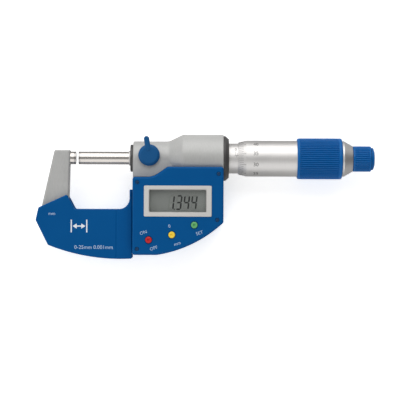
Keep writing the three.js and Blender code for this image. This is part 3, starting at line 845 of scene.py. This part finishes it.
def segment(letter, x, face):
    """One segment of the digit at x, on the panel's face."""
    start, end = [
        Vector((across * DIGIT_WIDTH / 2, up * DIGIT_HEIGHT / 2))
        for across, up in SEGMENT_ENDS[letter]
    ]
    along = (end - start).normalized()
    side = Vector((-along.y, along.x)) * STROKE / 2
    start, end = start + along * SEGMENT_GAP, end - along * SEGMENT_GAP
    tip = along * STROKE / 2
    first, last = start + tip, end - tip
    corners = [start, first + side, last + side, end, last - side, first - side]
    flat = [(x + p.x + p.y * DIGIT_LEAN, DIGITS_Y + p.y) for p in corners]
    return loft([[(*p, z) for p in flat] for z in (face, face + SEGMENT_RISE)])


def display_segments():
    """The reading's dark segments, and the faint ones that are off."""
    face = stretch_z("lcd_panel")[1]
    dark, faint = [], []
    x = DIGITS_X
    for character in READING:
        if character == ".":
            point_x = x - DIGIT_PITCH / 2 - DIGIT_HEIGHT / 2 * DIGIT_LEAN
            place = (point_x, DIGITS_Y - DIGIT_HEIGHT / 2)
            dark.append(post(place, face, face + SEGMENT_RISE, POINT_R))
            continue
        for letter in SEGMENT_ENDS:
            lit = letter in SEGMENTS_OF[character]
            (dark if lit else faint).append(segment(letter, x, face))
        x += DIGIT_PITCH
    finished("display_digits", merged(dark), BODY_OF["lcd_panel"], LCD_DARK)
    finished("display_unlit_segments", merged(faint), BODY_OF["lcd_panel"], LCD_FAINT)


def bezel():
    low, high = stretch_z("display_bezel")
    solid = plate(rectangle(BEZEL, BEZEL_ROUND), low, high, 0.3)
    slope = 0.4
    opening = loft([
        [(*p, z) for p in rounded(rectangle(BEZEL_WINDOW, 0.4 + grow, grow))]
        for z, grow in (
            (low - PAST, 0), (low + 0.6, 0), (high + 0.05, slope), (high + PAST, slope),
        )
    ])
    return cut(solid, opening)


def button(node):
    """A button on its flange, with a dimple in its top."""
    low, high = stretch_z(node)
    flange_r, flange_z, dimple_z = BUTTON_R + 0.55, low + 0.75, high - 0.5
    return upright([
        (low, 0), (low, flange_r, 0.1), (flange_z, flange_r, 0.15), (flange_z, BUTTON_R),
        (high, BUTTON_R, 0.4), (high, 0.7, 0.1), (dimple_z, 0.45, 0.1), (dimple_z, 0),
    ], middle(node))


def pane(node):
    """A flat plate that fills the node's box."""
    low, high = span(node)
    return plate(rectangle((low.x, low.y, high.x, high.y), 0.3), low.z, high.z, 0.1)


def add_display():
    fine("display_bezel", bezel())
    for node in ("display_window", "lcd_panel"):
        fine(node, pane(node))
    display_segments()
    for node in ("button_red", "button_yellow", "button_green"):
        fine(node, button(node))


# ---------------- battery cap

COIN_SLOT = (4.7, 0.8, 0.5)  # half its length, half its width, its depth


def battery_cap():
    x, y = BATTERY
    low, high = stretch_z("battery_cap")
    flange = low + 0.85
    solid = upright([
        (high, 0), (high, CAP_PLUG_R, 0.15), (flange, CAP_PLUG_R), (flange, CAP_FLANGE_R, 0.1),
        (low, CAP_FLANGE_R, 0.3), (low, 0),
    ], BATTERY, SIDES)
    reach_x, half, depth = COIN_SLOT
    return cut(solid, plate(bar((x - reach_x, y), (x + reach_x, y), half), low - PAST, low + depth))


# ---------------- barrel end, sleeve and spindle

SHOULDER_X = 74.05  # where the sleeve leaves the barrel
SLEEVE_ROOM_R = 5
NUT_SEAT_X = 104
NUT_SEAT_R = 7
NUT_THREAD_X = 92
NUT_THREAD_R = 3.76
RIM_X = 74.72  # where the end cap meets the barrel's end
RIM_R = 11.35
THREAD_X = 68
THREAD_R = 3.7
SPINDLE_SEAT_X = 114.95
SPINDLE_SEAT_R = 3
SCREW_BORE_X = 109.5
SCREW_BORE_R = 1.54


def add_sleeve():
    low, high = stretch_x("sleeve")
    fine("sleeve", lathe([
        (low, SLEEVE_ROOM_R), (low, CAVITY_FILL_R, 0.2), (SHOULDER_X, CAVITY_FILL_R, 0.2),
        (SHOULDER_X, SLEEVE_R), (NUT_SEAT_X, SLEEVE_R, 0.1), (NUT_SEAT_X, NUT_SEAT_R),
        (high, NUT_SEAT_R, 0.3), (high, NUT_THREAD_R), (NUT_THREAD_X, NUT_THREAD_R),
        (NUT_THREAD_X, SLEEVE_ROOM_R),
    ]))
    low, high = stretch_x("barrel_end_cap")
    bore, groove = SLEEVE_R + FIT, high - 0.35
    fine("barrel_end_cap", lathe([
        (low, bore), (low, CAVITY_FILL_R), (RIM_X, CAVITY_FILL_R), (RIM_X, RIM_R, 0.15),
        (75.6, RIM_R, 0.6), (high, 9.8, 0.3), (high, 8.3, 0.15), (groove, 8.1, 0.1),
        (groove, bore),
    ]))


def add_spindle():
    low, high = stretch_x("spindle")
    fine("spindle", lathe([
        (low, 0), (low, SPINDLE_R, 0.05), (THREAD_X, SPINDLE_R, 0.1),
        (THREAD_X + 0.4, THREAD_R, 0.1), (SPINDLE_SEAT_X, THREAD_R, 0.1),
        (SPINDLE_SEAT_X, SPINDLE_SEAT_R), (high, SPINDLE_SEAT_R, 0.2), (high, SCREW_BORE_R),
        (SCREW_BORE_X, SCREW_BORE_R), (SCREW_BORE_X, 0),
    ]))
    add_pin("spindle_carbide_tip", 0.06, 0.05)


# ---------------- thimble and grip

GRIP_RIBS = 62
GRIP_GROOVE = 0.5
KNOB_RIBS = 36
KNOB_GROOVE = 0.42
COLUMNS_PER_RIB = 8
RUN_OUT = 0.3  # length over which a groove begins or ends
ROUNDING = 0.01  # allowed when a station or radius is looked up
WEB_X = (115, 121)  # of the thimble's inner web, which sits on the spindle
WEB_R = 3.04


def ribbed_sleeve(corners, ribs, depth, start, end):
    """A closed turned sleeve with narrow grooves in its outer face between two plain collars."""
    outer = max(corner[1] for corner in corners)
    deep_start, deep_end = start + RUN_OUT, end - RUN_OUT

    def radius_at(x, radius, angle):
        grooved = deep_start - ROUNDING < x < deep_end + ROUNDING
        if not grooved or radius <= outer - ROUNDING:
            return radius
        wave = 0.5 + 0.5 * math.cos(ribs * angle)
        return radius - depth * wave**2

    stations = [(x, outer) for x in (start, deep_start, deep_end, end)]
    at = next(i for i, corner in enumerate(corners) if corner[1] == outer) + 1
    return lathe(corners[:at] + stations + corners[at:], ribs * COLUMNS_PER_RIB, radius_at)


def add_thimble():
    low, high = stretch_x("thimble")
    web_start, web_end = WEB_X
    fine("thimble", lathe([
        (low, THIMBLE_BORE_R), (low, BEVEL_R, 0.12), (BEVEL_END_X, THIMBLE_R, 2),
        (high, THIMBLE_R, 0.1), (high, THIMBLE_BORE_R), (web_end, THIMBLE_BORE_R),
        (web_end, WEB_R), (web_start, WEB_R), (web_start, THIMBLE_BORE_R),
    ]))
    low, high = stretch_x("thimble_grip")
    radius, bore = reach("thimble_grip"), THIMBLE_R + FIT
    grip = [(low, bore), (low, radius, 0.9), (high, radius, 0.9), (high, bore)]
    grooved = ribbed_sleeve(grip, GRIP_RIBS, GRIP_GROOVE, low + 1.2, high - 1.6)
    fine("thimble_grip", grooved, RIB_SMOOTH)
    low, high = stretch_x("thimble_end_cone")
    bore, plug, rim, edge = 4.05, 7.6, 9, 134.65
    fine("thimble_end_cone", lathe([
        (low, bore), (low, plug), (edge, plug), (edge, rim, 0.15), (135.6, rim, 0.4),
        (high, 6.5, 0.25), (high, bore),
    ]))


# ---------------- ratchet knob

SPRING_R = 3.5  # to the middle of the wire
SPRING_WIRE_R = 0.22
SPRING_TURNS = 2.5
CHORDS_PER_TURN = 48
WIRE_SIDES = 12


def coil(low, high):
    """A spring wound about the spindle line."""
    count = round(SPRING_TURNS * CHORDS_PER_TURN)
    rings = []
    for k in range(count + 1):
        angle = 2 * math.pi * SPRING_TURNS * k / count
        outward = Vector((0, math.cos(angle), math.sin(angle)))
        centre = Vector((low + (high - low) * k / count, 0, 0)) + outward * SPRING_R
        ring = []
        for i in range(WIRE_SIDES):
            turn = 2 * math.pi * i / WIRE_SIDES
            way = Vector((math.cos(turn), 0, 0)) + outward * math.sin(turn)
            ring.append(centre + way * SPRING_WIRE_R)
        rings.append(ring)
    return loft(rings)


def add_spring():
    """The pawl's spring, which shortens as the pawl rides back over the teeth."""
    low, high = stretch_x("ratchet_spring")
    spring = fine("ratchet_spring", coil(low + SPRING_WIRE_R, high - SPRING_WIRE_R))
    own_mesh(spring)


def add_ratchet():
    add_spring()
    low, high = stretch_x("ratchet_knob")
    radius, room, bore, post_bore = reach("ratchet_knob"), 5.95, 3.4, 2.1
    floor, step = 147, 147.5
    knob = [
        (low, room), (low, radius, 0.35), (high, radius, 0.35), (high, bore), (step, bore),
        (step, post_bore), (floor, post_bore), (floor, room),
    ]
    grooved = ribbed_sleeve(knob, KNOB_RIBS, KNOB_GROOVE, low + 0.9, high - 0.6)
    fine("ratchet_knob", grooved, RIB_SMOOTH)
    low, high = stretch_x("ratchet_end_cap")
    groove, edge = 5.1, low + 0.25
    fine("ratchet_end_cap", lathe([
        (low, 0), (low, groove), (edge, groove), (edge, 5.75, 0.1), (low + 1.2, 5.5, 0.5),
        (high, 3.8, 1.2), (high, 0),
    ]))


# ---------------- spindle lock

TAB_R = 1.35
TAB_ENDS = (3.2, LEVER_REACH - 1.3)  # the middles of its round ends, from the lever's pivot
LEVER_BORE_R = 1.4
LEVER_BORE_Z = 10.65


def lock_lever():
    x, y = LOCK
    low, high = stretch_z("lock_lever")
    root, tip = [
        (x - distance * math.sin(LEVER_LEAN), y + distance * math.cos(LEVER_LEAN))
        for distance in TAB_ENDS
    ]
    top, dish = high - 0.25, high - 0.45
    disc = upright([
        (low, 0), (low, LEVER_R, 0.2), (low + 1.5, LEVER_R, 0.7), (top, 4.2, 0.6),
        (top, 3.4, 0.4), (dish, 0),
    ], LOCK, SIDES)
    solid = joined(disc, plate(bar(root, tip, TAB_R), low + 0.3, high, 0.75))
    return cut(solid, post(LOCK, low - PAST, LEVER_BORE_Z, LEVER_BORE_R))


# ---------------- scales and lettering

INK = 0.02  # thickness of ink, and how far a filled line goes below and above its face
CAP_SHARE = 0.7  # cap height as a share of the lettering's size
LINE_STEPS = 4  # chords of a short line
INDEX_STEPS = 24  # the same for the index line
TICK_WIDTH = 0.13

THREAD_PITCH = 0.5
TRAVEL = 25
OPENING = span("spindle_carbide_tip")[0].x
ZERO_X = BEVEL_X - OPENING  # the thimble's edge when the micrometer is closed
INDEX_ANGLE = math.radians(10.7)  # of the sleeve's index line, from +Z towards +Y

THIMBLE_TICKS = 50
NUMBERED = 5  # every fifth tick has a number
THIMBLE_TICK = 2.3
THIMBLE_LONG_TICK = 3.6
THIMBLE_NUMBER_X = 90.9
THIMBLE_NUMBER_HEIGHT = 1.9
HALF_TICK = -1.1  # below the index line
SLEEVE_TICK = 1.4
SLEEVE_LONG_TICK = 2.2
SLEEVE_NUMBER_AT = 3.3
SLEEVE_NUMBER_HEIGHT = 1.5

SIGN = (2, -34.4)
RANGE_TEXT = (9.4, -45.1)
RANGE_HEIGHT = 1.85
UNIT_TEXT = (-11.7, -28.2)
TEXT_HEIGHT = 1.6
# Words beside the buttons, by the number of the button and the way from its middle
BUTTON_WORDS = [
    ("ON", 0, (-2.6, 3.6)), ("OFF", 0, (2.6, -4.2)), ("0", 1, (-1.2, 4.3)),
    ("mm", 1, (2.8, -4.4)), ("SET", 2, (2.6, -4.0)),
]


def lettering(text, height):
    """Plain lettering in the XY plane, centred, one unit thick, of the given cap height."""
    curve = bpy.data.curves.new("lettering", "FONT")
    curve.body, curve.size = text, height / CAP_SHARE
    curve.align_x, curve.align_y = "CENTER", "CENTER"
    curve.extrude, curve.resolution_u = 0.5, 4
    obj = bpy.data.objects.new("lettering", curve)
    bpy.context.scene.collection.objects.link(obj)
    mesh = settled(obj)
    shape = [v.co.copy() for v in mesh.vertices], [list(face.vertices) for face in mesh.polygons]
    bpy.data.objects.remove(obj)
    bpy.data.meshes.remove(mesh)
    return shape


def laid(shape, place, z, turn=0.0):
    """A flat shape turned in its plane and set down as ink on a face."""
    points, faces = shape
    spin = Matrix.Rotation(turn, 2)
    moved = []
    for p in points:
        flat = spin @ Vector((p.x, p.y))
        moved.append(Vector((place[0] + flat.x, place[1] + flat.y, z + p.z * INK)))
    return moved, faces


def wrapped(shape, x, angle, radius):
    """A flat shape bent round the spindle line, its upright along the turn."""
    points, faces = shape
    moved = []
    for p in points:
        at, r = angle + p.y / radius, radius + p.z * INK
        moved.append(Vector((x + p.x, r * math.sin(at), r * math.cos(at))))
    return moved, faces


def line_along(start, end, angle, radius_at, steps=LINE_STEPS):
    """An engraved and filled line along X on a turned face."""
    rings = []
    for k in range(steps + 1):
        x = start + (end - start) * k / steps
        radius = radius_at(x)
        half = TICK_WIDTH / 2 / radius
        low, high = radius - INK, radius + INK
        rings.append([
            (x, r * math.sin(angle + side), r * math.cos(angle + side))
            for r, side in ((low, -half), (high, -half), (high, half), (low, half))
        ])
    return loft(rings)


def line_round(x, start, end, radius):
    """An engraved and filled line that runs round a turned face."""
    half, low, high = TICK_WIDTH / 2, radius - INK, radius + INK
    rings = []
    for k in range(LINE_STEPS + 1):
        angle = start + (end - start) * k / LINE_STEPS
        rings.append([
            (x + side, r * math.sin(angle), r * math.cos(angle))
            for r, side in ((low, -half), (high, -half), (high, half), (low, half))
        ])
    return loft(rings)


def thimble_radius(x):
    share = (x - BEVEL_X) / (BEVEL_END_X - BEVEL_X)
    return BEVEL_R + (THIMBLE_R - BEVEL_R) * min(1, share)


def thimble_scale():
    """Fifty divisions round the bevel, numbered by fives, with the reading at the index line."""
    start = BEVEL_X + 0.3
    zero = INDEX_ANGLE - (OPENING / THREAD_PITCH % 1) * 2 * math.pi
    marks = []
    for i in range(THIMBLE_TICKS):
        angle = zero + 2 * math.pi * i / THIMBLE_TICKS
        numbered = i % NUMBERED == 0
        length = THIMBLE_LONG_TICK if numbered else THIMBLE_TICK
        marks.append(line_along(start, start + length, angle, thimble_radius))
        if numbered:
            number = lettering(str(i), THIMBLE_NUMBER_HEIGHT)
            marks.append(wrapped(number, THIMBLE_NUMBER_X, angle, THIMBLE_R))
    finished("thimble_scale", merged(marks), BODY_OF["thimble"], BLACK_FILL)


def sleeve_scale():
    """Millimetres above the index line, half millimetres below it."""
    start, end = ZERO_X - 0.6, ZERO_X + TRAVEL + 0.2
    marks = [line_along(start, end, INDEX_ANGLE, lambda x: SLEEVE_R, INDEX_STEPS)]
    for i in range(2 * TRAVEL + 1):
        x = ZERO_X + i * THREAD_PITCH
        numbered = i % (2 * NUMBERED) == 0
        size = HALF_TICK if i % 2 else SLEEVE_LONG_TICK if numbered else SLEEVE_TICK
        marks.append(line_round(x, INDEX_ANGLE, INDEX_ANGLE + size / SLEEVE_R, SLEEVE_R))
        if numbered:
            number = lettering(str(i // 2), SLEEVE_NUMBER_HEIGHT)
            angle = INDEX_ANGLE + SLEEVE_NUMBER_AT / SLEEVE_R
            marks.append(wrapped(number, x, angle, SLEEVE_R))
    finished("sleeve_scale", merged(marks), BODY_OF["sleeve"], BLACK_FILL)


def dimension_mark():
    """A double arrow between two bars, the drafting sign for a measured width, one unit thick."""
    width, height, line, gap, head, head_half = 8.4, 6.4, 0.6, 0.35, 2.1, 1.3
    shapes = []
    for side in (-1, 1):
        outer = side * width / 2
        left, right = sorted((outer, outer - side * line))
        shapes.append(rectangle((left, -height / 2, right, height / 2), 0.1))
        tip = outer - side * (line + gap)
        root = tip - side * head
        shapes.append([(tip, 0), (root, -head_half), (root, head_half)])
    shaft = width / 2 - line - gap - head
    shapes.append(rectangle((-shaft, -line / 2, shaft, line / 2)))
    return merged([plate(corners, -0.5, 0.5) for corners in shapes])


def add_print():
    """Ink: a sign, the unit and the range on the front cover, and words beside the buttons."""
    sign = laid(dimension_mark(), SIGN, COVER_Z)
    finished("cover_sign", sign, BODY_OF["bow_cover_front"], WHITE_INK)
    cover_print = [
        laid(lettering("0-25mm 0.001mm", RANGE_HEIGHT), RANGE_TEXT, COVER_Z),
        laid(lettering("mm", TEXT_HEIGHT), UNIT_TEXT, COVER_Z),
    ]
    finished("cover_print", merged(cover_print), BODY_OF["bow_cover_front"], LABEL_INK)
    (first_x, first_y), (last_x, last_y) = BUTTONS[0], BUTTONS[-1]
    slant = math.atan2(last_y - first_y, last_x - first_x)
    labels = []
    for text, number, (dx, dy) in BUTTON_WORDS:
        x, y = BUTTONS[number]
        labels.append(laid(lettering(text, TEXT_HEIGHT), (x + dx, y + dy), FRONT_Z, slant))
    finished("button_labels", merged(labels), BODY_OF["housing_front_shell"], LABEL_INK)


# ---------------- the object

add_frame()
add_bow_covers()
add_housing()
add_display()
fine("battery_cap", battery_cap())
add_sleeve()
add_spindle()
add_thimble()
add_ratchet()
fine("lock_lever", lock_lever())
thimble_scale()
sleeve_scale()
add_print()

for node, obj in frame["nodes"].items():
    obj.data.materials.clear()
    obj.data.materials.append(FINISHES[SLOT_OF[node]])

# ---------------- studio

# Lengths in metres from here on
CAMERA_HEIGHT = 0.95  # above the spindle line
FRAME_WIDTH = 0.2028  # seen at the spindle line
SENSOR = 36  # in millimetres
LOOK_AT = AXIS + Vector((62.85, -21.07, 0)) * MM
ROLL = math.radians(0.22)

FLOOR_HALF = 3
FLOOR_DROP = 0.0001
FLOOR_GLOW = 0.5

STUDIO_GLOW = 0.41
BACKDROP_GLOW = 0.95  # what the camera sees
FLAG_WAY = (0.853, 0, 0.514)  # the studio is dark around this direction
FLAG_GLOW = 0.02
FLAG_EDGE = (0.72, 0.95)  # cosines from FLAG_WAY where the dark begins and where it is full

# Name, angle from overhead, angle round from +Y, distance, size and glow
SOFTBOXES = [
    ("key", 58, 0, 1.1, (1.27, 1.4), 1.9),
    ("fill", 50, 180, 1.1, (1.3, 1.2), 0.85),
    ("left", 65, -90, 1.2, (1.2, 0.8), 0.8),
]


def add_camera():
    data = bpy.data.cameras.new("camera")
    data.sensor_width = SENSOR
    data.lens = SENSOR * CAMERA_HEIGHT / FRAME_WIDTH
    camera = bpy.data.objects.new("camera", data)
    camera.location = LOOK_AT + Vector((0, 0, CAMERA_HEIGHT))
    camera.rotation_euler = (0, 0, ROLL)
    bpy.context.scene.collection.objects.link(camera)
    bpy.context.scene.camera = camera


def add_softbox(name, polar, azimuth, distance, size, glow):
    """An area light aimed at the object."""
    data = bpy.data.lights.new(name, "AREA")
    data.shape, data.size, data.size_y = "RECTANGLE", *size
    data.energy = glow * math.pi * size[0] * size[1]
    light = bpy.data.objects.new(name, data)
    polar, azimuth = math.radians(polar), math.radians(azimuth)
    way = Vector((
        math.sin(polar) * math.sin(azimuth), math.sin(polar) * math.cos(azimuth), math.cos(polar),
    ))
    light.location = LOOK_AT + way * distance
    light.rotation_mode = "QUATERNION"
    light.rotation_quaternion = way.to_track_quat("Z", "Y")
    light.visible_camera = False
    bpy.context.scene.collection.objects.link(light)


def add_floor():
    """White paper under the object that is clear from below."""
    corners = rectangle((-FLOOR_HALF, -FLOOR_HALF, FLOOR_HALF, FLOOR_HALF))
    mesh = bpy.data.meshes.new("floor")
    mesh.from_pydata([(x, y, -FLOOR_DROP) for x, y, _ in corners], [], [(0, 1, 2, 3)])
    floor = bpy.data.objects.new("floor", mesh)
    bpy.context.scene.collection.objects.link(floor)
    material = surface("floor_paper", ((252, 252, 252), (255, 255, 255)), (0.9, 0.95),
                       BROAD, Specular_IOR_Level=0.0)
    tree = material.node_tree
    shader = tree.nodes["Principled BSDF"]
    shader.inputs["Emission Color"].default_value = (1, 1, 1, 1)
    shader.inputs["Emission Strength"].default_value = FLOOR_GLOW
    below = add(tree, "NewGeometry").outputs["Backfacing"]
    clear = add(tree, "BsdfTransparent").outputs[0]
    mix = add(tree, "MixShader", {0: below, 1: shader.outputs[0], 2: clear})
    tree.links.new(mix.outputs[0], tree.nodes["Material Output"].inputs["Surface"])
    mesh.materials.append(material)
    floor.visible_glossy = False


def add_studio():
    world = bpy.data.worlds.new("studio")
    world.use_nodes = True
    tree = world.node_tree
    way = add(tree, "TexCoord").outputs["Generated"]
    product = add(tree, "VectorMath", {0: way, 1: FLAG_WAY}, operation="DOT_PRODUCT")
    glow = stretched(tree, product.outputs["Value"], *FLAG_EDGE, STUDIO_GLOW, FLAG_GLOW)
    seen = add(tree, "LightPath").outputs["Is Camera Ray"]
    background = tree.nodes["Background"]
    tree.links.new(stretched(tree, seen, 0, 1, glow, BACKDROP_GLOW), background.inputs["Strength"])
    background.inputs["Color"].default_value = (1, 1, 1, 1)
    bpy.context.scene.world = world
    for softbox in SOFTBOXES:
        add_softbox(*softbox)
    bpy.context.scene.view_settings.view_transform = "Standard"


add_camera()
add_floor()
add_studio()
